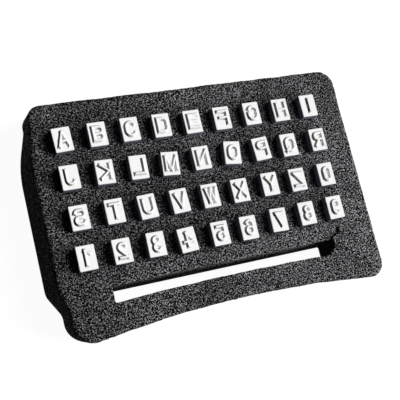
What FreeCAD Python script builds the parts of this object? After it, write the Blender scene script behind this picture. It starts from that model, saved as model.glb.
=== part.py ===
import FreeCAD, Part
import math
import os

# A set of 36 steel letter and figure punches standing in its foam holder.
# Millimetres, +Z up. The origin is on the surface that the holder rests on, under the
# middle of its length and width. X runs along the rows and Y points to the row A to I.

# The foam holder: a block with flat top and base, cut by hand, so its walls lean a little
HOLDER_LENGTH = 130.0        # right wall to the swell of the left wall, at the base
HOLDER_WIDTH = 85.5          # rear edge to the front corners, at the top
HOLDER_THICKNESS = 14.5
EDGE_ROUNDING = 1.2          # top rim of the foam
RIM_ANGLES = (0, 30, 60, 90)     # where the rounded rim is cut into flats, in degrees
REAR_LEFT_RADIUS = 4.5
REAR_RIGHT_RADIUS = 5.5
FRONT_LEFT_RADIUS = 7.5
FRONT_RIGHT_RADIUS = 5.0
FRONT_HOLLOW = 3.4           # how far the front edge curves in at its middle
FRONT_ARC_MARGIN = 9.4       # from each side wall to where the front edge starts to curve in
WALL_LEAN = 1.2              # the base lies this much further to the rear than the top

# The left wall swells out between its two corners, and more at the base than at the top
SWELL_BASE = 4.4
SWELL_TOP = 2.2
SWELL_REAR_MARGIN = 6.2      # rear edge to where the swell starts
SWELL_REAR_RUN = 14.2        # from there to its full height
SWELL_FRONT_MARGIN = 11.8    # the same two from the front edge of the top, where it is steeper
SWELL_FRONT_RUN = 8.0
SWELL_FRONT_RADIUS = 6.0
SWELL_REAR_RADIUS = 45.0
WAIST_RADIUS = 5.0

# The slot that stores the handle goes right through, about where a fifth row would be
SLOT_WIDTH = 5.3             # at its two ends
SLOT_BOW = 0.95              # the foam of its front wall bulges in by this at the middle
SLOT_ARC_MARGIN = 2.0        # from each end of the slot to where that bulge starts
SLOT_LEFT_MARGIN = 20.8      # from the swell at the base to the slot's left end
SLOT_RIGHT_MARGIN = 18.0
SLOT_SHIFT = 0.1             # it lies this much further to the front than a fifth row would
SLOT_RADIUS = 0.6            # its four corners

# The punches: four rows of nine. The rows, the slot and the two edges are evenly spaced
ROWS = ("ABCDEFGHI", "JKLMNOPQR", "STUVWXYZ0", "123456789")
COLUMNS_LEFT_MARGIN = 14.0   # from the swell at the base to the middle of column A
COLUMNS_RIGHT_MARGIN = 16.0
FACE_WIDTH = 6.6
FACE_HEIGHT = 8.9
STAND_PROUD = 3.3            # the face stands this much above the foam
POCKET_FLOOR = 4.0           # foam left under a punch
POCKET_CLEARANCE = 0.05      # on each side of a punch
FACE_CHAMFER = 0.15
CORNER_CHAMFER = 0.2
SOCKET_WIDTH = 3.2           # square blind hole for the handle's tip, in the punch's foot
SOCKET_DEPTH = 6.0

# Raised characters: each stroke has sloping flanks, so that the die leaves the metal clean
LETTER_HEIGHT = 5.4          # over the flat tops of the strokes
LETTER_WIDTH = 4.0
STROKE_WIDTH = 0.5           # flat top of a stroke
STROKE_HEIGHT = 1.0
FLANK_RUN = 0.55             # how far a flank slopes out from top to foot
STROKE_SINK = 0.1            # the strokes' feet reach this far into the face
ARC_STEP = 10                # curved strokes are cut in flats of this many degrees
HOOK_ANGLE = 20              # where S, J, 2, 3 and 5 end, from the middle of their circle
OPEN_ANGLE = 35              # the same for C, G, 6 and 9, which are more open

# Proportions of the characters, as shares of their half width or half height
NARROW_SHARE = 0.78          # slimmer figures and J
WIDE_SHARE = 1.15            # M and W
BAR_SHARE = 0.75             # right end of the middle bar of E and F
CROSSBAR_SHARE = -0.3        # height of the crossbar of A and 4
STEM_SHARE = 0.3             # off-centre stems of 1, 4 and 7, bar of G and tail of Q
TAIL_SHARE = -0.55           # height where the tail of Q starts
FLAG_SHARE = 0.6             # outer end of the flag of 1
TURN_SHARE = 0.85            # corner radius of D
JOINT_SHARE = -0.8           # where the arms of K leave its stem
EIGHT_SHARE = 0.45           # radius of the smaller, upper loop of 8

# Punches that stand upside down, crooked or off the grid, as they were put in by hand
UPSIDE_DOWN = "BCDE"
TURNED = {"A": 2, "D": -1, "F": -1, "K": -2, "L": -2, "M": -5, "O": -7, "P": 3,
          "U": 2, "V": 2, "Y": -1, "3": -1, "4": 3, "6": -1, "7": -2}
SHIFTED = {"B": (0.4, 0.2), "C": (0.3, 0.4), "D": (0.1, 0.2), "F": (-0.3, -0.2),
           "H": (0.1, -0.2), "I": (0.3, 0.0), "J": (-0.3, 0.4), "K": (0.0, 0.4),
           "L": (0.2, 0.2), "M": (-0.1, -0.3), "O": (0.3, 0.1), "P": (0.2, -0.1),
           "Q": (-0.2, -0.3), "R": (0.5, 0.0), "T": (0.3, 0.1), "U": (0.1, -0.3),
           "V": (0.1, -0.3), "W": (-0.1, -0.4), "X": (-0.4, -0.4), "Z": (-0.4, -0.2),
           "1": (-0.6, 0.0), "2": (-0.2, 0.0), "4": (-0.5, -0.6), "5": (0.1, -0.6),
           "6": (-0.7, -0.6), "7": (-0.2, 0.1), "8": (-0.2, 0.5), "9": (0.0, 0.7)}

# Places worked out from the sizes above
RIGHT = HOLDER_LENGTH / 2
LEFT = -HOLDER_LENGTH / 2
WAIST = LEFT + SWELL_BASE
TOP_REAR = (HOLDER_WIDTH - WALL_LEAN) / 2
TOP_FRONT = TOP_REAR - HOLDER_WIDTH
FIRST_COLUMN = LEFT + COLUMNS_LEFT_MARGIN
LAST_COLUMN = RIGHT - COLUMNS_RIGHT_MARGIN
COLUMN_PITCH = (LAST_COLUMN - FIRST_COLUMN) / (len(ROWS[0]) - 1)
ROW_PITCH = HOLDER_WIDTH / (len(ROWS) + 2)
SLOT_MIDDLE = TOP_FRONT + ROW_PITCH - SLOT_SHIFT
PUNCH_LENGTH = HOLDER_THICKNESS + STAND_PROUD - POCKET_FLOOR

# Half width and half height of the characters, along the middle of their strokes
W = (LETTER_WIDTH - STROKE_WIDTH) / 2
H = (LETTER_HEIGHT - STROKE_WIDTH) / 2
BOWL = H / 2                 # radius of a bowl that takes half the height
NARROW = NARROW_SHARE * W
WIDE = WIDE_SHARE * W
TINY = 1e-6                  # points nearer than this are one point


def vec(x, y, z=0.0):
    return FreeCAD.Vector(x, y, z)


def rounded_wire(corners, z, inset=0.0):
    """Closed wire through (x, y, radius) corners, counter-clockwise, each rounded by a
    tangent arc. The whole outline can be drawn further in by inset."""
    points = [vec(x, y, z) for x, y, _ in corners]
    arcs = []
    for i, (_, _, radius) in enumerate(corners):
        here = points[i]
        back = (points[i - 1] - here).normalize()
        ahead = (points[(i + 1) % len(points)] - here).normalize()
        half = back.getAngle(ahead) / 2
        bisector = (back + ahead).normalize()
        inward = inset if ahead.cross(back).z > 0 else -inset
        here = here + bisector * (inward / math.sin(half))
        radius = radius - inward
        reach = radius / math.tan(half)
        middle = here + bisector * (radius / math.sin(half) - radius)
        arcs.append((here + back * reach, middle, here + ahead * reach))
    edges = []
    for i, (start, middle, end) in enumerate(arcs):
        edges.append(Part.LineSegment(arcs[i - 1][2], start).toShape())
        edges.append(Part.Arc(start, middle, end).toShape())
    return Part.Wire(edges)


def holder_outline(lean, swell, z, inset=0.0):
    """Plan outline of the block at one height, counter-clockwise seen from above. The front
    and rear walls lie further to the rear by lean, and the left wall swells out by swell."""
    rear = TOP_REAR + lean
    front = TOP_FRONT + lean
    bulge = WAIST - swell
    swell_rear = rear - SWELL_REAR_MARGIN
    swell_front = TOP_FRONT + SWELL_FRONT_MARGIN

    # The hollow front edge is one long arc, between two corners a little past the front
    half_chord = (RIGHT - WAIST) / 2 - FRONT_ARC_MARGIN
    hollow_radius = (half_chord ** 2 + FRONT_HOLLOW ** 2) / (2 * FRONT_HOLLOW)
    slope = 2 * FRONT_HOLLOW / half_chord
    return rounded_wire([
        (RIGHT, rear, REAR_RIGHT_RADIUS),
        (WAIST, rear, REAR_LEFT_RADIUS),
        (WAIST, swell_rear, WAIST_RADIUS),
        (bulge, swell_rear - SWELL_REAR_RUN, SWELL_REAR_RADIUS),
        (bulge, swell_front + SWELL_FRONT_RUN, SWELL_FRONT_RADIUS),
        (WAIST, swell_front, WAIST_RADIUS),
        (WAIST, front - slope * FRONT_LEFT_RADIUS, FRONT_LEFT_RADIUS),
        ((WAIST + RIGHT) / 2, front + 2 * FRONT_HOLLOW, hollow_radius),
        (RIGHT, front - slope * FRONT_RIGHT_RADIUS, FRONT_RIGHT_RADIUS),
    ], z, inset)


def place_of(row, column, character):
    """Where a punch stands: the middle of its foot and its turn about the vertical."""
    dx, dy = SHIFTED.get(character, (0.0, 0.0))
    x = FIRST_COLUMN + column * COLUMN_PITCH + dx
    y = TOP_REAR - (row + 1) * ROW_PITCH + dy
    turn = TURNED.get(character, 0)
    return x, y, turn


def put(shape, place, z):
    x, y, turn = place
    return shape.rotated(vec(0, 0), vec(0, 0, 1), turn).translated(vec(x, y, z))


def make_holder():
    sections = [holder_outline(WALL_LEAN, SWELL_BASE, 0.0)]
    for angle in RIM_ANGLES:
        inset = EDGE_ROUNDING * (1 - math.cos(math.radians(angle)))
        drop = EDGE_ROUNDING * (1 - math.sin(math.radians(angle)))
        sections.append(holder_outline(0.0, SWELL_TOP, HOLDER_THICKNESS - drop, inset))
    block = Part.makeLoft(sections, True, True)

    slot_left = LEFT + SLOT_LEFT_MARGIN
    slot_right = RIGHT - SLOT_RIGHT_MARGIN
    slot_rear = SLOT_MIDDLE + SLOT_WIDTH / 2
    slot_front = SLOT_MIDDLE - SLOT_WIDTH / 2
    half_slot = (slot_right - slot_left) / 2
    bow_radius = (half_slot - SLOT_ARC_MARGIN) * half_slot / (2 * SLOT_BOW)
    slot = Part.Face(rounded_wire([
        (slot_right, slot_rear, SLOT_RADIUS),
        (slot_left, slot_rear, SLOT_RADIUS),
        (slot_left, slot_front, SLOT_RADIUS),
        (slot_left + half_slot, slot_front + 2 * SLOT_BOW, bow_radius),
        (slot_right, slot_front, SLOT_RADIUS),
    ], 0.0)).extrude(vec(0, 0, HOLDER_THICKNESS))

    width = FACE_WIDTH + 2 * POCKET_CLEARANCE
    height = FACE_HEIGHT + 2 * POCKET_CLEARANCE
    depth = HOLDER_THICKNESS - POCKET_FLOOR
    pocket = Part.makeBox(width, height, depth, vec(-width / 2, -height / 2))
    cuts = [slot]
    for row, characters in enumerate(ROWS):
        for column, character in enumerate(characters):
            cuts.append(put(pocket, place_of(row, column, character), POCKET_FLOOR))
    return block.cut(cuts)


def bar(x0, y0, x1, y1):
    """Straight stroke from point to point, with sloping flanks all round."""
    length = math.hypot(x1 - x0, y1 - y0)
    half, foot = half_widths()
    wedge = Part.makeWedge(-foot, 0, -foot, -half, -half,
                           length + foot, STROKE_HEIGHT + STROKE_SINK, foot, half, length + half)
    wedge.rotate(vec(0, 0), vec(1, 0, 0), 90)
    wedge.rotate(vec(0, 0), vec(0, 0, 1), math.degrees(math.atan2(y1 - y0, x1 - x0)))
    wedge.translate(vec(x0, y0, -STROKE_SINK))
    return wedge


def half_widths():
    """Half width of a stroke at its flat top and at its foot, inside the punch."""
    half = STROKE_WIDTH / 2
    return half, half + FLANK_RUN * (STROKE_HEIGHT + STROKE_SINK) / STROKE_HEIGHT


def arc(x, y, radius, start, end):
    """Curved piece of a line, about (x, y) from one angle to another, in degrees."""
    return x, y, radius, math.radians(start), math.radians(end)


def points_of(piece, out=0.0):
    """Points along a piece of a line: the one point of an (x, y) piece, or the ends of an
    arc's flats, moved out to the left of the way it is drawn."""
    if len(piece) == 2:
        return [vec(*piece)]
    x, y, radius, start, end = piece
    radius = radius - out if end > start else radius + out
    steps = math.ceil(abs(math.degrees(end - start)) / ARC_STEP)
    angles = [start + (end - start) * i / steps for i in range(steps + 1)]
    return [vec(x + radius * math.cos(a), y + radius * math.sin(a)) for a in angles]


def heading(line):
    """Direction in which a line ends."""
    piece = line[-1]
    if len(piece) == 2:
        return (vec(*piece) - points_of(line[-2])[-1]).normalize()
    _, _, _, start, end = piece
    turn = 1 if end > start else -1
    return vec(-turn * math.sin(end), turn * math.cos(end))


def backward(line):
    return [piece if len(piece) == 2 else (*piece[:3], piece[4], piece[3])
            for piece in reversed(line)]


def polygon(*points):
    return Part.Face(Part.makePolygon([*points, points[0]]))


def sloping(outline):
    """Solid between the outlines of a stroke's foot and of its flat top, with flat sides.
    outline(out) gives the points at a distance out from the middle of the stroke."""
    half, foot = half_widths()
    low, high = [
        [p + vec(0, 0, z) for i, p in enumerate(points) if not p.isEqual(points[i - 1], TINY)]
        for points, z in ((outline(foot), -STROKE_SINK), (outline(half), STROKE_HEIGHT))]
    faces = [polygon(*low), polygon(*high)]
    for i, point in enumerate(low):
        faces.append(polygon(low[i - 1], point, high[i], high[i - 1]))
    solid = Part.Solid(Part.Shell(faces))
    if solid.Volume < 0:
        solid.reverse()
    return solid


def bow(piece):
    """Curved stroke along an arc, cut off square at both ends."""
    return sloping(lambda out: points_of(piece, -out) + points_of(piece, out)[::-1])


def straight(start, end):
    """Straight stroke between two points, cut off square at both."""
    ahead = (end - start).normalize()
    left = vec(-ahead.y, ahead.x)
    return sloping(lambda out: [start - left * out, end - left * out,
                                end + left * out, start + left * out])


def cap(end, ahead):
    """Free end of a stroke, which goes on by half its width as a bar does."""
    left = vec(-ahead.y, ahead.x)
    return sloping(lambda out: [end - left * out, end + (ahead - left) * out,
                                end + (ahead + left) * out, end + left * out])


def stroke(*line, joined=(False, False)):
    """Stroke along arcs and the straight lines between them. It can also start or end at an
    (x, y) point. An end that is joined to another stroke stops at its point."""
    solids = [bow(piece) for piece in line if len(piece) == 5]
    for before, after in zip(line[:-1], line[1:]):
        start, end = points_of(before)[-1], points_of(after)[0]
        if not start.isEqual(end, TINY):
            solids.append(straight(start, end))
    for way, is_joined in zip((backward(line), line), joined):
        if not is_joined:
            solids.append(cap(points_of(way[-1])[-1], heading(way)))
    return solids


def ring(*line):
    """Closed stroke along arcs, drawn counter-clockwise, and the lines between them."""
    outer, inner = [
        sloping(lambda out: [p for piece in line for p in points_of(piece, side * out)])
        for side in (-1, 1)]
    return outer.cut(inner)


def path(*points):
    """Straight strokes joined end to end."""
    return [bar(*a, *b) for a, b in zip(points[:-1], points[1:])]


def loop(y, radius):
    return ring(arc(0, y, radius, 0, 360))


def oval(half_width):
    """Letter O or figure 0: two half circles joined by straight sides."""
    side = H - half_width
    return ring(arc(0, side, half_width, 0, 180), arc(0, -side, half_width, 180, 360))


def bowl_right(y):
    """Bowl of B, P or R about the height y, drawn from the stem and back to it."""
    return stroke((-W, y + BOWL), arc(W - BOWL, y, BOWL, 90, -90), (-W, y - BOWL),
                  joined=(True, True))


def six():
    """Figure 6. Figure 9 is the same turned by half a turn."""
    side = H - NARROW
    return [loop(-side, NARROW)] + stroke(arc(0, side, NARROW, OPEN_ANGLE, 180),
                                          (-NARROW, -side), joined=(False, True))


def strokes_of(character):
    """Strokes of one character as it reads in print."""
    stem = bar(-W, -H, -W, H)
    side = H - W
    inner = STEM_SHARE * W
    cross = CROSSBAR_SHARE * H
    if character == "A":
        reach = W * (H - cross) / (2 * H)
        return path((-W, -H), (0, H), (W, -H)) + [bar(-reach, cross, reach, cross)]
    if character == "B":
        return [stem] + bowl_right(BOWL) + bowl_right(-BOWL)
    if character == "C":
        return stroke(arc(0, side, W, OPEN_ANGLE, 180), arc(0, -side, W, 180, 360 - OPEN_ANGLE))
    if character == "D":
        turn = TURN_SHARE * W
        return [stem] + stroke((-W, H), arc(W - turn, H - turn, turn, 90, 0),
                               arc(W - turn, turn - H, turn, 0, -90), (-W, -H),
                               joined=(True, True))
    if character == "E":
        return [stem, bar(-W, H, W, H), bar(-W, 0, BAR_SHARE * W, 0), bar(-W, -H, W, -H)]
    if character == "F":
        return [stem, bar(-W, H, W, H), bar(-W, 0, BAR_SHARE * W, 0)]
    if character == "G":
        return [bar(inner, 0, W, 0)] + stroke(arc(0, side, W, OPEN_ANGLE, 180),
                                              arc(0, -side, W, 180, 360), (W, 0))
    if character == "H":
        return [stem, bar(W, -H, W, H), bar(-W, 0, W, 0)]
    if character == "I":
        return [bar(0, -H, 0, H)]
    if character == "J":
        return stroke((NARROW, H), arc(0, NARROW - H, NARROW, 0, HOOK_ANGLE - 180))
    if character == "K":
        joint = JOINT_SHARE * W
        return [stem, bar(joint, 0, W, H), bar(joint, 0, W, -H)]
    if character == "L":
        return [stem, bar(-W, -H, W, -H)]
    if character == "M":
        return path((-WIDE, -H), (-WIDE, H), (0, -H), (WIDE, H), (WIDE, -H))
    if character == "N":
        return path((-W, -H), (-W, H), (W, -H), (W, H))
    if character == "O":
        return [oval(W)]
    if character == "P":
        return [stem] + bowl_right(BOWL)
    if character == "Q":
        return [oval(W), bar(inner, TAIL_SHARE * H, W, -H)]
    if character == "R":
        return [stem, bar(0, 0, W, -H)] + bowl_right(BOWL)
    if character == "S":
        flat = W - BOWL
        return stroke(arc(flat, BOWL, BOWL, HOOK_ANGLE, 90), arc(-flat, BOWL, BOWL, 90, 270),
                      arc(flat, -BOWL, BOWL, 90, -90),
                      arc(-flat, -BOWL, BOWL, -90, HOOK_ANGLE - 180))
    if character == "T":
        return [bar(-W, H, W, H), bar(0, -H, 0, H)]
    if character == "U":
        return stroke((-W, H), arc(0, -side, W, 180, 360), (W, H))
    if character == "V":
        return path((-W, H), (0, -H), (W, H))
    if character == "W":
        return path((-WIDE, H), (-WIDE / 2, -H), (0, H), (WIDE / 2, -H), (WIDE, H))
    if character == "X":
        return [bar(-W, -H, W, H), bar(-W, H, W, -H)]
    if character == "Y":
        return [bar(-W, H, 0, 0), bar(W, H, 0, 0), bar(0, -H, 0, 0)]
    if character == "Z":
        return path((-W, H), (W, H), (-W, -H), (W, -H))
    if character == "0":
        return [oval(NARROW)]
    if character == "1":
        return path((-FLAG_SHARE * W, FLAG_SHARE * H), (inner, H), (inner, -H))
    if character == "2":
        # The slanting line leaves the upper curve where it touches it
        shoulder = H - NARROW
        reach = math.hypot(NARROW, shoulder + H)
        touch = math.acos(NARROW / reach) + math.atan2(-shoulder - H, -NARROW)
        curve = arc(0, shoulder, NARROW, 180 - HOOK_ANGLE, math.degrees(touch))
        return [bar(-NARROW, -H, NARROW, -H)] + stroke(curve, (-NARROW, -H))
    if character == "3":
        return (stroke(arc(0, BOWL, BOWL, 180 - HOOK_ANGLE, -90))
                + stroke(arc(0, -BOWL, BOWL, 90, HOOK_ANGLE - 180)))
    if character == "4":
        return path((inner, -H), (inner, H), (-W, cross), (W, cross))
    if character == "5":
        return path((NARROW, H), (-NARROW, H), (-NARROW, 0)) + stroke(
            arc(0, NARROW - H, NARROW, 180 - 2 * HOOK_ANGLE, HOOK_ANGLE - 180))
    if character == "6":
        return six()
    if character == "7":
        return path((-NARROW, H), (NARROW, H), (-inner, -H))
    if character == "8":
        upper = EIGHT_SHARE * H
        lower = H - upper
        return [loop(H - upper, upper), loop(lower - H, lower)]
    return [solid.rotated(vec(0, 0), vec(0, 0, 1), 180) for solid in six()]


def make_punch(character):
    """One punch standing on its foot, with its raised character reading backwards."""
    body = Part.makeBox(FACE_WIDTH, FACE_HEIGHT, PUNCH_LENGTH,
                        vec(-FACE_WIDTH / 2, -FACE_HEIGHT / 2))
    uprights = [e for e in body.Edges if e.BoundBox.ZLength > PUNCH_LENGTH / 2]
    body = body.makeChamfer(CORNER_CHAMFER, uprights)
    face_edges = [e for e in body.Edges if e.BoundBox.ZMin > PUNCH_LENGTH / 2]
    body = body.makeChamfer(FACE_CHAMFER, face_edges)
    body = body.cut(Part.makeBox(SOCKET_WIDTH, SOCKET_WIDTH, SOCKET_DEPTH,
                                 vec(-SOCKET_WIDTH / 2, -SOCKET_WIDTH / 2)))

    strokes = strokes_of(character)
    relief = strokes[0].fuse(strokes[1:]) if len(strokes) > 1 else strokes[0]
    relief = relief.mirror(vec(0, 0), vec(1, 0)).translated(vec(0, 0, PUNCH_LENGTH))
    punch = body.fuse(relief).removeSplitter()
    if character in UPSIDE_DOWN:
        punch = punch.rotated(vec(0, 0), vec(0, 0, 1), 180)
    return punch


def export(shape, name):
    """Write one piece to its own file, as a single solid."""
    solids = shape.Solids
    if len(solids) != 1 or not solids[0].isValid():
        raise ValueError(name + " is not one sound solid")
    solids[0].exportStep("parts/" + name + ".step")
    print(name, "faces", len(solids[0].Faces), "volume", round(solids[0].Volume, 1))


os.makedirs("parts", exist_ok=True)
export(make_holder(), "holder")
for row, characters in enumerate(ROWS):
    for column, character in enumerate(characters):
        place = place_of(row, column, character)
        export(put(make_punch(character), place, POCKET_FLOOR), "punch_" + character.lower())
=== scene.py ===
# %% [markdown]
# # A set of letter punches in its foam holder
#
# The real thing is a block of black foam, 13 cm long, with 36 short steel punches standing
# in it. Each punch carries one raised letter or figure, mirrored so that the mark it leaves
# reads the right way round. The CAD model gives every shape and place in metres. This
# lesson dresses it: soft cut foam, ground steel, and the light of a small product studio.

# %% Load the CAD frame
import math

import bmesh
import bpy
from mathutils import Matrix, Vector, noise
from mathutils.geometry import intersect_point_line


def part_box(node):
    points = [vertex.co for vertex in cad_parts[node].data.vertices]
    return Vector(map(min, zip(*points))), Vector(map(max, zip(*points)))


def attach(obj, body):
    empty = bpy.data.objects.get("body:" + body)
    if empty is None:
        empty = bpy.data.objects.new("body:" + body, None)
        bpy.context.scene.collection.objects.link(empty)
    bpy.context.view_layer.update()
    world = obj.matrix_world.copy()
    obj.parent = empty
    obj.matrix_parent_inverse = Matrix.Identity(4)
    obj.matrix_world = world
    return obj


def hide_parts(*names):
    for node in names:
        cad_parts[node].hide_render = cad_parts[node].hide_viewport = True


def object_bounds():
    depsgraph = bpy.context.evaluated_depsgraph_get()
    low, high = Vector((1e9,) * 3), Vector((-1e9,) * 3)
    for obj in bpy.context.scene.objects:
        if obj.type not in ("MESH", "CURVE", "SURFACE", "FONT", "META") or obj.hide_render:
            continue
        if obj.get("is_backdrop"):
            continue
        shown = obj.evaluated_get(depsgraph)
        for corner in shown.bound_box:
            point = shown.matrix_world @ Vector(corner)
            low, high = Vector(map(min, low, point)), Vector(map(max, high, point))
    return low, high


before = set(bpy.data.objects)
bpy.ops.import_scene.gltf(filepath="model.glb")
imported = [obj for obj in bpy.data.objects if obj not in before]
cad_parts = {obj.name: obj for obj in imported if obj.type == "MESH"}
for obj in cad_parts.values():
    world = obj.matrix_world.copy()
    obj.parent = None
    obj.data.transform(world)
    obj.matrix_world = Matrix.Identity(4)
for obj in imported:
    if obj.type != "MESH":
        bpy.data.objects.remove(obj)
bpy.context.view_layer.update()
MM = 0.001      # one millimetre in metres
punch_nodes = sorted(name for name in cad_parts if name.startswith("punch_"))
print("punches:", len(punch_nodes))

# %% [markdown]
# ## The camera
#
# A photograph of a flat grid gives its own viewpoint away: the 36 faces are equal and
# evenly spaced on the real object, so the way they shrink and slant on the picture tells
# where the lens stood. Angles could be turned by hand until it looks right, but a solved
# viewpoint fits every face at once. The camera is placed by three vectors, its position and
# the directions of the picture's right and up. The third axis of a Blender camera points
# backwards, out of the scene.

# %% Place the camera
CAMERA_PLACE = Vector((-116.25, -47.23, 286.0)) * MM
PICTURE_RIGHT = Vector((0.9117, -0.2357, 0.3365))
PICTURE_UP = Vector((0.1637, 0.9597, 0.2286))
LENS = 72.0
SENSOR = 36.0
HALF_PIXEL = 0.5 / 400      # the picture is 400 pixels wide
NEAREST_SEEN = 5 * MM

right = PICTURE_RIGHT.normalized()
backwards = right.cross(PICTURE_UP).normalized()
up = backwards.cross(right)
turn = Matrix((right, up, backwards)).transposed().to_4x4()
camera = bpy.data.objects.new("camera", bpy.data.cameras.new("camera"))
camera.matrix_world = Matrix.Translation(CAMERA_PLACE) @ turn
camera.data.lens = LENS
camera.data.sensor_width = SENSOR
camera.data.shift_x = -HALF_PIXEL
camera.data.shift_y = HALF_PIXEL
camera.data.clip_start = NEAREST_SEEN
bpy.context.collection.objects.link(camera)
bpy.context.scene.camera = camera
bpy.context.scene.view_settings.view_transform = "Standard"
print("camera", round(CAMERA_PLACE.length / MM), "mm from the middle of the holder")

# %% [markdown]
# ## Helpers for node materials
#
# Every finish here is a small network of nodes. Writing each node and each link by hand is
# long, so one helper adds a node, sets its values and wires its inputs in a single call.
# An input that is given a socket is linked, and any other value is typed in. Three more
# helpers stand for the nodes that every material needs: sums, changes of range and blends.

# %% Node helpers
def wire(tree, node, inputs):
    """Fills a node's inputs, by name or number, with sockets or with plain values."""
    for name, value in inputs.items():
        socket = node.inputs[name]
        if isinstance(value, bpy.types.NodeSocket):
            tree.links.new(value, socket)
        else:
            socket.default_value = value
    return node


def add_node(tree, kind, inputs=None, **settings):
    node = tree.nodes.new(kind)
    for name, value in settings.items():
        setattr(node, name, value)
    return wire(tree, node, inputs or {})


def new_material(name):
    material = bpy.data.materials.new(name)
    material.use_nodes = True
    tree = material.node_tree
    return material, tree, tree.nodes["Principled BSDF"]


print("helpers ready: wire, add_node, new_material")

# %% Sums, ranges and blends
def compute(tree, operation, *values):
    node = add_node(tree, "ShaderNodeMath", dict(enumerate(values)), operation=operation)
    return node.outputs[0]


def remap(tree, value, start=(0.0, 1.0), end=(0.0, 1.0), kind="LINEAR"):
    """Carries the range start over to the range end. Values outside stay at the ends."""
    node = add_node(tree, "ShaderNodeMapRange",
                    {"Value": value, "From Min": start[0], "From Max": start[1],
                     "To Min": end[0], "To Max": end[1]}, interpolation_type=kind)
    return node.outputs[0]


# A mix node has sockets for every kind of data: first input, second input and result
MIX_SOCKETS = {"FLOAT": (2, 3, 0), "RGBA": (6, 7, 2)}


def mix(tree, kind, factor, first, second):
    a, b, result = MIX_SOCKETS[kind]
    node = add_node(tree, "ShaderNodeMix", {"Factor": factor, a: first, b: second}, data_type=kind)
    return node.outputs[result]


print("helpers ready: compute, remap, mix")

# %% [markdown]
# ## The studio
#
# The ground faces are mirrors that look up, so they show the white studio and turn white by
# themselves. Floor and world are white to the lens and to the mirrors that the lens sees.
# To the rest of the light they are nearly black, so that they don't light up the foam's
# left wall and the flanks that look left, which are nearly black in the photograph. A real
# studio does this with black cards. In Blender the light path node tells the two kinds of
# ray apart, and needs no extra objects that a mirror would show.

# %% Rays that the lens sees
NO_BOUNCE_YET = 0.5     # the count of matt bounces is 0 before the first one and 1 after it


def seen_ray(tree):
    """1 for what the lens sees, directly or in a mirror, and 0 for the rest of the light."""
    ray = add_node(tree, "ShaderNodeLightPath")
    seen = compute(tree, "MAXIMUM", ray.outputs["Is Camera Ray"], ray.outputs["Is Glossy Ray"])
    early = compute(tree, "LESS_THAN", ray.outputs["Diffuse Depth"], NO_BOUNCE_YET)
    return compute(tree, "MULTIPLY", seen, early)


print("ray test ready")

# %% Floor
WHITE = (1, 1, 1, 1)
FLOOR_SIZE = 4.0
FLOOR_SEEN = 0.12
FLOOR_GLOW = 0.96
FLOOR_BOUNCE = 0.008
FLOOR_ROUGHNESS = 0.9

half = FLOOR_SIZE / 2
corners = [(-half, -half, 0), (half, -half, 0), (half, half, 0), (-half, half, 0)]
mesh = bpy.data.meshes.new("floor")
mesh.from_pydata(corners, [], [(0, 1, 2, 3)])
floor = bpy.data.objects.new("floor", mesh)
bpy.context.collection.objects.link(floor)
floor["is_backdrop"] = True

paper, tree, shader = new_material("floor_paper")
seen = seen_ray(tree)
wire(tree, shader, {
    "Base Color": remap(tree, seen, end=(FLOOR_BOUNCE, FLOOR_SEEN)),
    "Roughness": FLOOR_ROUGHNESS,
    "Specular IOR Level": 0.0,
    "Emission Color": WHITE,
    "Emission Strength": compute(tree, "MULTIPLY", seen, FLOOR_GLOW),
})
floor.data.materials.append(paper)
print("floor:", FLOOR_SIZE, "m square")

# %% World
WORLD_LIGHT = 0.008
WORLD_SEEN = 1.0

world = bpy.data.worlds.new("studio")
bpy.context.scene.world = world
world.use_nodes = True
tree = world.node_tree
wire(tree, tree.nodes["Background"], {
    "Color": WHITE,
    "Strength": remap(tree, seen_ray(tree), end=(WORLD_LIGHT, WORLD_SEEN)),
})
print("world:", WORLD_SEEN, "to the lens,", WORLD_LIGHT, "to the rest")

# %% [markdown]
# ## The lamps
#
# Both lamps stand on the right: the key lamp a little behind the holder, the other a little
# in front. Nothing lights the holder from the left, and that is what draws the letters:
# every flank that looks left stays black. Area lamps give the soft shadow edges of a
# studio softbox, where a point lamp would draw hard ones. They are hidden from the ground
# faces, because a lamp in a mirror is a glaring spot.

# %% Lamps
def soft_lamp(name, place, size, watts):
    """Square area lamp at a place in metres that looks at the holder."""
    data = bpy.data.lights.new(name, "AREA")
    data.shape = "SQUARE"
    data.size = size
    data.energy = watts
    aim = (-Vector(place)).to_track_quat("-Z", "Y").to_matrix().to_4x4()
    lamp = bpy.data.objects.new(name, data)
    lamp.matrix_world = Matrix.Translation(place) @ aim
    lamp.visible_glossy = False
    bpy.context.collection.objects.link(lamp)
    print("lamp:", name, watts, "W")


soft_lamp("key", place=(0.52, 0.17, 0.56), size=0.40, watts=4.0)
soft_lamp("front", place=(0.58, -0.32, 0.28), size=0.20, watts=5.2)

# %% [markdown]
# ## Effects as node groups
#
# Each effect is built once, as a node group with named inputs: a fine grain, soft blotches
# and convex edges, which the foam lightens partly as wear and partly as painted highlight.
# The blotches serve both the foam and the steel, each in its own size.
# Noise textures are read at the object's own coordinates, in metres, so a scale of 1000
# makes one bump per millimetre. A picture of real foam would do for one view, but it shows
# seams and has its own shadows in it, while noise fits any shape and any light.

# %% Helpers for the groups
def new_group(name, inputs, outputs):
    """Shader node group with named float inputs, given as {name: default}, and outputs."""
    tree = bpy.data.node_groups.new(name, "ShaderNodeTree")
    for label, default in inputs.items():
        socket = tree.interface.new_socket(label, in_out="INPUT", socket_type="NodeSocketFloat")
        socket.default_value = default
    for label in outputs:
        tree.interface.new_socket(label, in_out="OUTPUT", socket_type="NodeSocketFloat")
    return tree, tree.nodes.new("NodeGroupInput"), tree.nodes.new("NodeGroupOutput")


def noise_texture(tree, place, scale, detail, roughness, distortion=0.0):
    node = add_node(tree, "ShaderNodeTexNoise",
                    {"Vector": place, "Scale": scale, "Detail": detail, "Roughness": roughness,
                     "Distortion": distortion})
    return node.outputs["Fac"]


print("group helpers ready")

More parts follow.
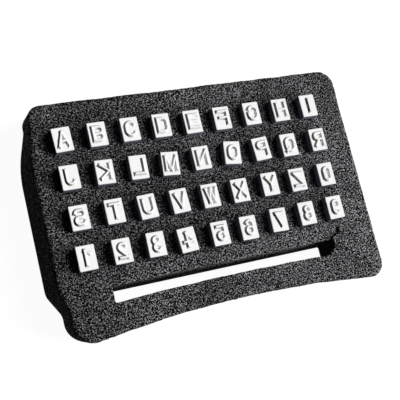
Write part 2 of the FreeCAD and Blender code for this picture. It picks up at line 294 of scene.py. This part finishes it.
# %% Pebbled grain
CREST_RANGE = (0.485, 0.605)
CREST_POWER = 1.4


def grain_group():
    """Fine pebbles: a mask of bright crests and a height, from two sizes of noise."""
    tree, given, out = new_group("pebble_grain", {"Pebbles per metre": 1000.0, "Finer by": 1.7},
                                 ["Crest", "Height"])
    place = add_node(tree, "ShaderNodeTexCoord").outputs["Object"]
    scale = given.outputs["Pebbles per metre"]
    finer = compute(tree, "MULTIPLY", scale, given.outputs["Finer by"])
    pebbles = noise_texture(tree, place, scale, detail=1.0, roughness=0.5, distortion=0.3)
    grit = noise_texture(tree, place, finer, detail=1.0, roughness=0.6)
    height = mix(tree, "FLOAT", 0.5, pebbles, grit)
    crest = compute(tree, "POWER", remap(tree, height, start=CREST_RANGE), CREST_POWER)
    wire(tree, out, {"Crest": crest, "Height": height})
    return tree


grain = grain_group()
print("group:", grain.name)

# %% Blotches, and edges lightened as wear and painted highlight
BLOTCH_RANGE = (0.35, 0.65)
CONVEX_FROM = 0.505


def blotch_group():
    """Large soft patches, from 0 to 1."""
    tree, given, out = new_group("soft_blotches", {"Patches per metre": 60.0}, ["Mask"])
    place = add_node(tree, "ShaderNodeTexCoord").outputs["Object"]
    cloud = noise_texture(tree, place, given.outputs["Patches per metre"], detail=3.0,
                          roughness=0.55)
    wire(tree, out, {"Mask": remap(tree, cloud, start=BLOTCH_RANGE, kind="SMOOTHSTEP")})
    return tree


def edge_group():
    """Convex mask: 1 where the surface is sharply convex, at edges and at pebble crests. The foam
    lightens it partly as wear and partly as painted highlight.
    """
    tree, given, out = new_group("wear_and_highlight_group", {"Sharpness": 0.53}, ["Mask"])
    shape = add_node(tree, "ShaderNodeNewGeometry").outputs["Pointiness"]
    convex = (CONVEX_FROM, given.outputs["Sharpness"])
    wire(tree, out, {"Mask": remap(tree, shape, start=convex, kind="SMOOTHSTEP")})
    return tree


blotches = blotch_group()
wear_and_highlight_group = edge_group()
print("groups:", blotches.name, wear_and_highlight_group.name)

# %% [markdown]
# ## Foam
#
# Closed-cell foam is made of tiny bubbles. A cut goes through them and leaves a pebbled
# skin of matt hollows and small crests, and the pebbles are the foam's own. Colour and bump
# come from the same grain, so the pale specks sit on the crests: the crests are painted pale
# grey as a painted highlight, and the hollows near black as painted shade. Edges and pebble
# crests that the convex mask finds are a little greyer, partly wear and partly painted
# highlight. The foam hardly shines: seen along its walls, even a weak shine would mirror the
# floor and turn them grey.

# %% Foam material
# Painted shade and painted highlight: the grain's hollows are painted near black and its crests
# pale grey.
FOAM_HOLLOW_SHADE = (0.002, 0.002, 0.0024, 1)
FOAM_CREST_HIGHLIGHT = (0.385, 0.385, 0.40, 1)
FOAM_PEBBLES = 1650.0
FOAM_PATCHES = 45.0
PATCH_TONES = (0.75, 1.15)
# Convex edges and pebble crests are lightened: partly wear, partly painted highlight.
WEAR_AND_HIGHLIGHT_GREY = 0.5
WEAR_AND_HIGHLIGHT_SHARPNESS = 0.60
HOLLOW_ROUGHNESS = 0.9
CREST_ROUGHNESS = 0.6
FOAM_SHINE = 0.02
GRAIN_HEIGHT = 0.8 * MM

foam, tree, shader = new_material("cut_foam")
pebbles = add_node(tree, "ShaderNodeGroup", {"Pebbles per metre": FOAM_PEBBLES}, node_tree=grain)
patches = add_node(tree, "ShaderNodeGroup", {"Patches per metre": FOAM_PATCHES}, node_tree=blotches)
wear_and_highlight_mask = add_node(tree, "ShaderNodeGroup", {"Sharpness": WEAR_AND_HIGHLIGHT_SHARPNESS}, node_tree=wear_and_highlight_group)

crest = pebbles.outputs["Crest"]
# The crest mask puts the painted highlight on the crests and the painted shade in the hollows.
skin = mix(tree, "RGBA", crest, FOAM_HOLLOW_SHADE, FOAM_CREST_HIGHLIGHT)
# The tone lightens convex edges and pebble crests, partly as wear and partly as painted highlight,
# and varies at random in patches.
tone = compute(tree, "MULTIPLY_ADD", wear_and_highlight_mask.outputs["Mask"], WEAR_AND_HIGHLIGHT_GREY,
               remap(tree, patches.outputs["Mask"], end=PATCH_TONES))
toned = add_node(tree, "ShaderNodeVectorMath", {0: skin, "Scale": tone}, operation="SCALE")
bump = add_node(tree, "ShaderNodeBump", {"Height": pebbles.outputs["Height"], "Strength": 1.0,
                                         "Distance": GRAIN_HEIGHT})
wire(tree, shader, {
    "Base Color": toned.outputs[0],
    "Roughness": remap(tree, crest, end=(HOLLOW_ROUGHNESS, CREST_ROUGHNESS)),
    "Specular IOR Level": FOAM_SHINE,
    "Normal": bump.outputs[0],
})
print("foam:", FOAM_PEBBLES, "pebbles per metre")

# %% [markdown]
# ## The foam block
#
# The CAD block has the true outline, slot and pockets, but its surface is as flat as a
# table. Real foam was cut with a knife: its edges waver, the rim of every pocket is
# rounded where the foam grips the steel, the knife slipped at the slot's right end, and the
# cut tore there. A remesh would give the points to shape this from, but it would blunt the
# pockets. So the block is copied and only its rims are rounded.

# %% Copy the block and round its cut rims
JOIN_WITHIN = 0.002 * MM
FLAT_WITHIN = math.radians(0.5)
RIM_ROUNDING = 0.3 * MM
UPRIGHT = 0.1       # a face looks up by less than this where it is a wall

block_low, block_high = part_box("holder")
block_top = block_high.z


def cad_copy(node):
    """The CAD node's own mesh as a new bmesh: split corners are joined again, and the
    triangles of each flat face too."""
    bm = bmesh.new()
    bm.from_mesh(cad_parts[node].data)
    bm.transform(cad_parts[node].matrix_world)
    bmesh.ops.remove_doubles(bm, verts=bm.verts, dist=JOIN_WITHIN)
    bmesh.ops.dissolve_limit(bm, angle_limit=FLAT_WITHIN, verts=bm.verts, edges=bm.edges)
    return bm


def is_rim(edge):
    """True where a flat top meets a wall: the rims of the pockets and of the slot."""
    if len(edge.link_faces) != 2 or any(abs(v.co.z - block_top) > JOIN_WITHIN for v in edge.verts):
        return False
    return min(abs(f.normal.z) for f in edge.link_faces) < UPRIGHT


bm = cad_copy("holder")
rims = [e for e in bm.edges if is_rim(e)]
bmesh.ops.bevel(bm, geom=rims, offset=RIM_ROUNDING, offset_type="OFFSET", segments=2,
                profile=0.5, affect="EDGES")
print("rims rounded:", len(rims), "faces:", len(bm.faces))

# %% [markdown]
# ## A fine grid on the foam
#
# A flat face has points only at its corners, and points are all that can be moved. Planes
# about half a millimetre apart cut the faces into a fine grid. Subdivision would do it too,
# but it cuts a long thin triangle into more long thin ones, while planes give even squares.
# Only the skin that can be seen is cut: the base and the insides of the pockets stay as
# they are, which keeps the mesh small.

# %% Find the skin
punch_boxes = [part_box(node) for node in punch_nodes]


def near_punch(point, margin):
    return any(low.x - margin < point.x < high.x + margin
               and low.y - margin < point.y < high.y + margin
               for low, high in punch_boxes)


def is_skin(face):
    """True for the faces that can be seen: not the base, nor the inside of a pocket."""
    middle = face.calc_center_median()
    if middle.z < JOIN_WITHIN:
        return False
    return middle.z > block_top - RIM_ROUNDING or not near_punch(middle, RIM_ROUNDING)


bmesh.ops.triangulate(bm, faces=[f for f in bm.faces if len(f.verts) > 4])
skin_faces = [f for f in bm.faces if is_skin(f)]
print("faces of the skin:", len(skin_faces), "of", len(bm.faces))

# %% Slice the skin into a fine grid
SLICE = 0.55 * MM
CUT_SNAP = 1e-7     # a point this near to a plane counts as on it, in metres


def slice_faces(bm, faces, axis, planes):
    """Cuts the faces with planes across one axis. It starts with the plane in the middle and
    goes on with each half by itself, so that every cut goes through few faces."""
    if not planes or not faces:
        return faces
    half = len(planes) // 2
    normal = Vector((0, 0, 0))
    normal[axis] = 1
    edges = {e for f in faces for e in f.edges}
    verts = {v for f in faces for v in f.verts}
    cut = bmesh.ops.bisect_plane(bm, geom=[*verts, *edges, *faces], dist=CUT_SNAP,
                                 plane_co=normal * planes[half], plane_no=normal)
    cut = [f for f in cut["geom"] if isinstance(f, bmesh.types.BMFace)]
    below = [f for f in cut if f.calc_center_median()[axis] < planes[half]]
    above = [f for f in cut if f.calc_center_median()[axis] >= planes[half]]
    return (slice_faces(bm, below, axis, planes[:half])
            + slice_faces(bm, above, axis, planes[half + 1:]))


for axis in range(3):
    low, high = block_low[axis], block_high[axis]
    count = int((high - low) / SLICE)
    planes = [low + (high - low) * i / count for i in range(1, count)]
    skin_faces = slice_faces(bm, skin_faces, axis, planes)
bmesh.ops.triangulate(bm, faces=bm.faces[:])
print("block sliced into", len(bm.faces), "triangles")

# %% [markdown]
# ## Shaping the foam
#
# Every point of the skin is moved a little. A slow wave and a fine one, both made of noise,
# take the flatness away. The walls swell a little, the slot's rear wall leans back, and
# its right end is pulled inwards where it tore. The knife's slip is a short groove: points
# close to its path go down. A sculpting brush would do this by hand. Here each change is a
# small function of the place, so its size and reach can be set by a number and the result
# is the same each time. The tear and the lean fade out softly, so that the foam only
# stretches round them: each has a range where it rises and a range where it falls again.

# %% Soft steps
def mm(*values):
    return tuple(value * MM for value in values)


def ease(value, start, end):
    """0 up to the start, 1 from the end on, and a soft step between."""
    t = min(max((value - start) / (end - start), 0.0), 1.0)
    return t * t * (3 - 2 * t)


def hump(value, rise, fall):
    """0 far away and 1 in the middle: a soft step up and a soft step down again."""
    return ease(value, *rise) - ease(value, *fall)


print("a soft step a quarter of the way up:", ease(0.25, 0, 1))

# %% The torn end and the leaning wall
SLOT_END = 47.0 * MM
TEAR_REACH = 10 * MM
TEAR_LOWEST = 2 * MM
TEAR_REAR = 0.45 * MM
TEAR_REAR_STEP = mm(22, 26)
TEAR_FRONT = 3.2 * MM
TEAR_FRONT_HUMP = (mm(28, 32.8), mm(32.5, 38))
RAGGED = 0.5 * MM
RAGGED_SIZE = 1.3 * MM
RAGGED_HUMP = (mm(25, 26.5), mm(32, 33.5))
RAGGED_FADE = 8     # a high power keeps the ragged edge close to the slot's end
LEAN_BASE = -0.3 * MM
LEAN_TOP = 0.75 * MM
LEAN_ALONG = (mm(-50, -44), mm(46, 52))
LEAN_ACROSS = (mm(-30.5, -26.7), mm(-26.5, -20.5))


def torn(point):
    """How far the slot's right end was pulled inwards where the cut tore: most at the top of
    its front corner, and ragged at its very edge."""
    near = hump(point.x, (SLOT_END - TEAR_REACH, SLOT_END), (SLOT_END, SLOT_END + TEAR_REACH))
    deep = ease(point.z, TEAR_LOWEST, block_top)
    to_front = -point.y
    pull = (TEAR_REAR * ease(to_front, *TEAR_REAR_STEP)
            + TEAR_FRONT * hump(to_front, *TEAR_FRONT_HUMP))
    rag = RAGGED * noise.noise(point / RAGGED_SIZE) * near ** RAGGED_FADE
    return Vector(((rag * hump(to_front, *RAGGED_HUMP) - pull * near) * deep, 0, 0))


def leaned(point):
    """The knife was held at a slant: the slot's rear wall leans back towards its top."""
    rise = (point.z - block_low.z) / (block_top - block_low.z)
    lean = LEAN_BASE + (LEAN_TOP - LEAN_BASE) * rise
    return Vector((0, lean * hump(point.x, *LEAN_ALONG) * hump(point.y, *LEAN_ACROSS), 0))


print("the wall leans by", round((LEAN_TOP - LEAN_BASE) / MM, 2), "mm")

# %% The knife's slip
SLIP_PATH = (mm(45.9, -26.6), mm(46.7, -25.6), mm(47.8, -24.8), mm(48.9, -24.0), mm(49.6, -23.0),
             mm(49.2, -21.9))
SLIP_DEPTH = 2.6 * MM
SLIP_CORE = 0.2 * MM
SLIP_EDGE = 0.68 * MM
SLIP_LENGTH = 6 * MM
SLIP_REACH = 1.2    # points further off than this many lengths are left alone
SLIP_FADE = 0.6     # the share of its depth that is lost over its length

slip_points = [Vector(place) for place in SLIP_PATH]
slip_runs = list(zip(slip_points[:-1], slip_points[1:]))


def slip(point):
    """How deep the knife's slip is at a point of the top. It gets shallower on its way."""
    place = point.xy
    way = (place - slip_points[0]).length / SLIP_LENGTH
    if way > SLIP_REACH:
        return 0.0
    apart = []
    for start, end in slip_runs:
        share = intersect_point_line(place, start, end)[1]
        apart.append((place - start.lerp(end, min(max(share, 0.0), 1.0))).length)
    return SLIP_DEPTH * (1 - SLIP_FADE * way) * (1 - ease(min(apart), SLIP_CORE, SLIP_EDGE))


print("slip:", round(slip(slip_points[0]) / MM, 1), "mm deep where it starts,",
      round(slip(slip_points[-1]) / MM, 1), "where it ends")

# %% The fuller walls
FULL_LEFT = 0.15 * MM
FULL_RIGHT = 0.8 * MM
FULL_FRONT = 0.35 * MM
FULL_REAR = 0.6 * MM
SLOT_X = (-45.5 * MM, SLOT_END + 1.2 * MM)
SLOT_Y = mm(-33, -25.5)


def in_slot(point):
    return SLOT_X[0] < point.x < SLOT_X[1] and SLOT_Y[0] < point.y < SLOT_Y[1]


def fuller(normal):
    """Foam pressed down by its punches swells a little at its walls, by sides."""
    x = normal.x * (FULL_RIGHT if normal.x > 0 else FULL_LEFT)
    y = normal.y * (FULL_REAR if normal.y > 0 else FULL_FRONT)
    return Vector((x, y, 0))


print("walls fuller by up to", FULL_RIGHT / MM, "mm")

# %% [markdown]
# ## Moving the points
#
# One loop adds the changes up for each point. Points of the base only follow the lean, so
# the base stays flat. Near a punch the foam only moves up and down, so that it keeps its
# grip. Then the block is made an object of its own that stands for the CAD block.

# %% Move the points of the foam
WAVER = 0.22 * MM
WAVER_SIZE = 8 * MM
PEBBLE = 0.16 * MM
PEBBLE_SIZE = 0.8 * MM
CALM_FOOT = 2 * MM
NEAR_PUNCH = 2 * RIM_ROUNDING
PUNCH_DIP = 0.1 * MM


def move_point(v):
    if v.co.z < block_low.z + JOIN_WITHIN:
        v.co += leaned(v.co)
        return
    wave = WAVER * noise.noise(v.co / WAVER_SIZE) + PEBBLE * noise.noise(v.co / PEBBLE_SIZE)
    height = wave * ease(v.co.z, block_low.z, block_low.z + CALM_FOOT)
    if near_punch(v.co, NEAR_PUNCH):
        if v.co.z > block_top - RIM_ROUNDING:
            v.co.z += height - PUNCH_DIP
        return
    move = v.normal * height + torn(v.co) + leaned(v.co)
    if not in_slot(v.co):
        move += fuller(v.normal) * ease(v.co.z, block_low.z, block_top)
    move.z -= slip(v.co) * v.co.z / block_top
    v.co += move


bm.normal_update()
for v in bm.verts:
    move_point(v)
print("points moved:", len(bm.verts))

# %% Make the foam block
FOAM_SHARP_ABOVE = math.radians(50)


def new_piece(name, bm, material, sharp_above):
    """Turns a bmesh into a smooth-shaded object with sharp edges above an angle. Only points
    and faces are kept: the CAD mesh's own normals would no longer fit."""
    mesh = bpy.data.meshes.new(name)
    index = {v: i for i, v in enumerate(bm.verts)}
    mesh.from_pydata([v.co for v in bm.verts], [], [[index[v] for v in f.verts] for f in bm.faces])
    bm.free()
    mesh.materials.append(material)
    for polygon in mesh.polygons:
        polygon.use_smooth = True
    mesh.set_sharp_from_angle(angle=sharp_above)
    piece = bpy.data.objects.new(name, mesh)
    bpy.context.collection.objects.link(piece)
    return piece


block = new_piece("foam_block", bm, foam, FOAM_SHARP_ABOVE)
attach(block, "root")
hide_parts("holder")
print("foam block:", len(block.data.vertices), "points")

# %% [markdown]
# ## Ground steel
#
# The punches are cut from square steel bar, and their faces are ground flat. Steel is a
# metal, so it has no colour of its own beneath the reflection: the base colour is the
# colour of the mirror. Fine grinding lines in its bump and roughness blur that mirror.
# Only the ground faces are mirrors. The letters' flanks are left matt and pale by the
# cutter. The bar's sides are matt and painted dark: painted shade, standing in for the shade
# on them and the dark foam that they mirror. Three materials on three sets of faces would do,
# but one material that asks how much its surface looks up needs no sets of faces, and gives
# the small chamfers round a face a tone between mirror and matt.

# %% Grinding lines, smudges and slopes of the steel
LINES_PER_METRE = 9000.0
LINE_STRETCH = (1.0, 0.06, 0.3)
SMUDGES_PER_METRE = 350.0
SLOPING = (0.1, 0.35)
LEVEL = (0.6, 0.85)

steel, tree, shader = new_material("ground_steel")
place = add_node(tree, "ShaderNodeTexCoord")
stretched = add_node(tree, "ShaderNodeMapping", {"Vector": place.outputs["Object"],
                                                 "Scale": LINE_STRETCH})
lines = noise_texture(tree, stretched.outputs[0], LINES_PER_METRE, detail=2.0, roughness=0.6)
smudges = add_node(tree, "ShaderNodeGroup", {"Patches per metre": SMUDGES_PER_METRE},
                   node_tree=blotches)
smudge = smudges.outputs["Mask"]
looks_up = add_node(tree, "ShaderNodeSeparateXYZ", {0: place.outputs["Normal"]}).outputs["Z"]
sloping = remap(tree, looks_up, start=SLOPING)
level = remap(tree, looks_up, start=LEVEL)
print("steel:", LINES_PER_METRE, "grinding lines per metre")

# %% Steel material
GROUND_COLOUR = (0.935, 0.93, 0.905, 1)
SMUDGE_COLOUR = (0.915, 0.905, 0.93, 1)
FLANK_COLOUR = (0.95, 0.95, 0.955, 1)
# Painted shade: the bar's sides are painted dark, standing in for the shade on them and the dark
# foam that they mirror.
SIDE_SHADE_COLOUR = (0.15, 0.145, 0.18, 1)
FLANK_ROUGHNESS = 0.55
GROUND_ROUGHNESS = (0.06, 0.12)
SMUDGE_ROUGHNESS = 0.04
LINE_STRENGTH = 0.15
LINE_HEIGHT = 0.01 * MM

ground = mix(tree, "RGBA", smudge, GROUND_COLOUR, SMUDGE_COLOUR)
# The upright sides take the painted shade colour and the sloping flanks the pale matt colour.
matt = mix(tree, "RGBA", sloping, SIDE_SHADE_COLOUR, FLANK_COLOUR)
ground_rough = compute(tree, "MULTIPLY_ADD", smudge, SMUDGE_ROUGHNESS,
                       remap(tree, lines, end=GROUND_ROUGHNESS))
bump = add_node(tree, "ShaderNodeBump", {"Height": lines, "Strength": LINE_STRENGTH,
                                         "Distance": LINE_HEIGHT})
wire(tree, shader, {
    "Base Color": mix(tree, "RGBA", level, matt, ground),
    "Metallic": level,
    "Roughness": mix(tree, "FLOAT", level, FLANK_ROUGHNESS, ground_rough),
    "Specular IOR Level": 0.0,
    "Normal": bump.outputs[0],
})
print("steel: sides", SIDE_SHADE_COLOUR[:3], "flanks", FLANK_COLOUR[:3], "faces", GROUND_COLOUR[:3])

# %% [markdown]
# ## The punches
#
# The CAD punches already have the right shape: a chamfered bar, and a letter with sloping
# flanks. A text object would be quicker, but its walls stand upright, and a letter punch
# needs slopes to come out of the metal. So each CAD punch is copied, and the flat facets of
# its curved strokes are shaded smooth. Edges that turn by more than 22 degrees stay sharp,
# as a grinder leaves them.

# %% Dress the punches
STEEL_SHARP_ABOVE = math.radians(22)

for node in punch_nodes:
    piece = new_piece("ground_" + node, cad_copy(node), steel, STEEL_SHARP_ABOVE)
    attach(piece, "root")
    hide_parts(node)
print("punches dressed:", len(punch_nodes))

# %% [markdown]
# ## The size
#
# Dressing must not change the real size. The box round the visual model is printed in
# millimetres: the foam's skin may stand a little proud of the CAD model's box, and nothing more.

# %% Print the visual model's size and finish
low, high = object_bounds()
print("visual box in mm:", [round(v / MM, 1) for v in (*low, *high)])
